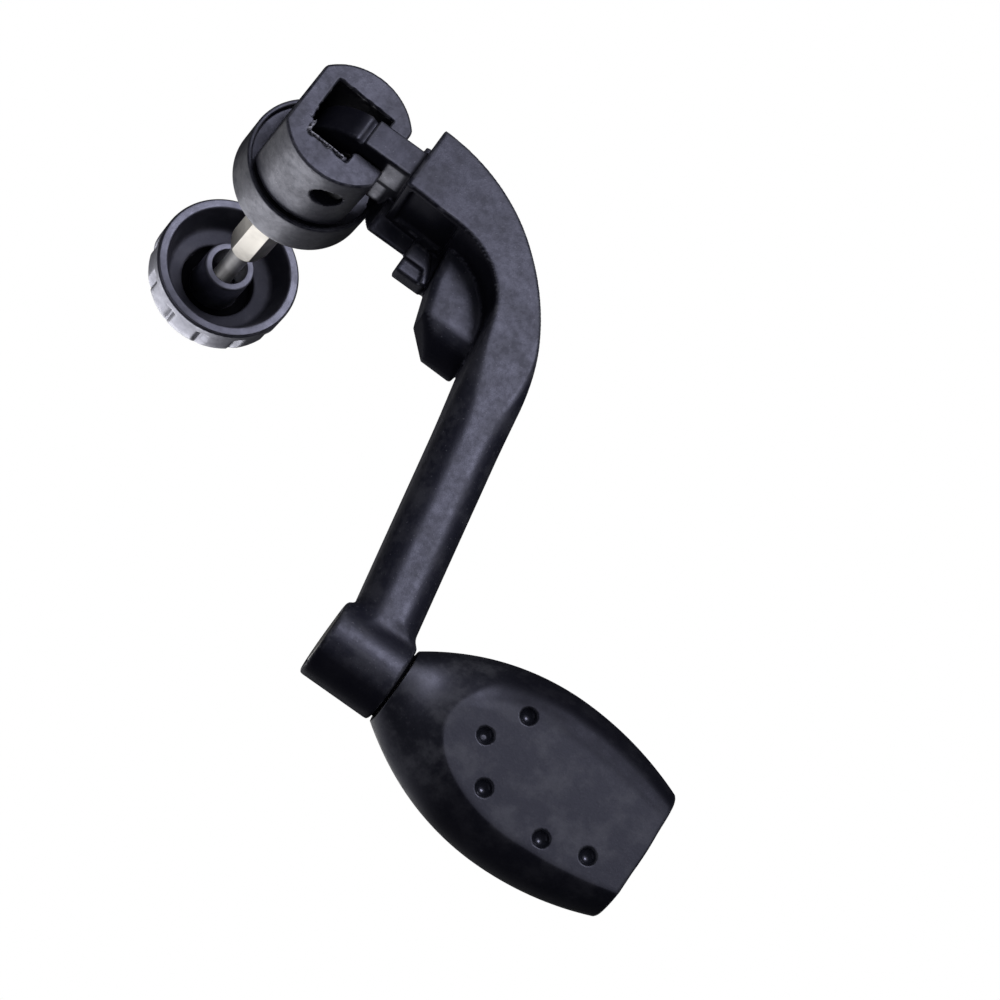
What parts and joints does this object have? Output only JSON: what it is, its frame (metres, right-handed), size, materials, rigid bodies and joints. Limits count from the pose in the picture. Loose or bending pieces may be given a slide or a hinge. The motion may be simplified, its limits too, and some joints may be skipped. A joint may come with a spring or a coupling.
{
  "type": "folding reel handle",
  "caption": "Folding crank handle with a faceted drive shaft, a screw cap, a curved arm that folds on a pin and a paddle knob that spins.",
  "frame": {"origin": "crank axis where it meets the seat face of the hub's collar", "axes": "+Y along the drive shaft away from the hub, +Z along the fold pin, +X out of the hub's mouth, the side that the arm folds towards; the arm hangs towards -Z"},
  "size_m": [0.096, 0.0754, 0.0869],
  "materials": {
    "black_nylon": "satin black moulded nylon, dusty and lightly scuffed",
    "knob_black": "smoother black moulding with glossy finger dimples",
    "plated_steel": "bright nickel plate",
    "bare_steel": "turned steel",
    "black_steel": "blackened steel",
    "acetal": "natural acetal"
  },
  "bodies": {
    "hub": {"hub_body": "black_nylon", "hub_collar": "black_nylon", "drive_shaft": "plated_steel", "pivot_pin": "black_steel", "pivot_shims": "bare_steel"},
    "arm": {"crank_arm": "black_nylon", "knob_axle": "bare_steel", "knob_thrust_washer": "acetal", "knob_keeper_washer": "bare_steel", "knob_keeper_screw": "bare_steel"},
    "knob": {"knob_body": "knob_black", "knob_inner_bush": "acetal", "knob_outer_bush": "acetal", "knob_end_plug": "knob_black"},
    "cap_ring": {"cap_thrust_ring": "acetal"},
    "cap": {"cap_shell": "black_nylon", "cap_screw": "plated_steel", "cap_end_disc": "black_nylon"}
  },
  "joints": [
    {"name": "arm_fold", "type": "hinge", "parent": "hub", "child": "arm", "pos_m": [0.0034, -0.0159, 0], "axis": [0, 0, 1], "range_deg": [-84.8, 5.2]},
    {"name": "knob_spin", "type": "hinge", "parent": "arm", "child": "knob", "pos_m": [0.04126, -0.02356, -0.0629], "axis": [0.9959, -0.0906, 0], "continuous": true},
    {"name": "cap_travel", "type": "slide", "parent": "hub", "child": "cap_ring", "axis": [0, 1, 0], "range_m": [-0.0074, 0.0055]},
    {"name": "cap_turn", "type": "hinge", "parent": "cap_ring", "child": "cap", "pos_m": [0, 0.032, 0], "axis": [0, 1, 0], "range_deg": [-3805.71, 2828.57]}
  ],
  "couplings": [
    {"joint": "cap_travel", "follows": "cap_turn", "m_per_rad": 0.00011141}
  ]
}
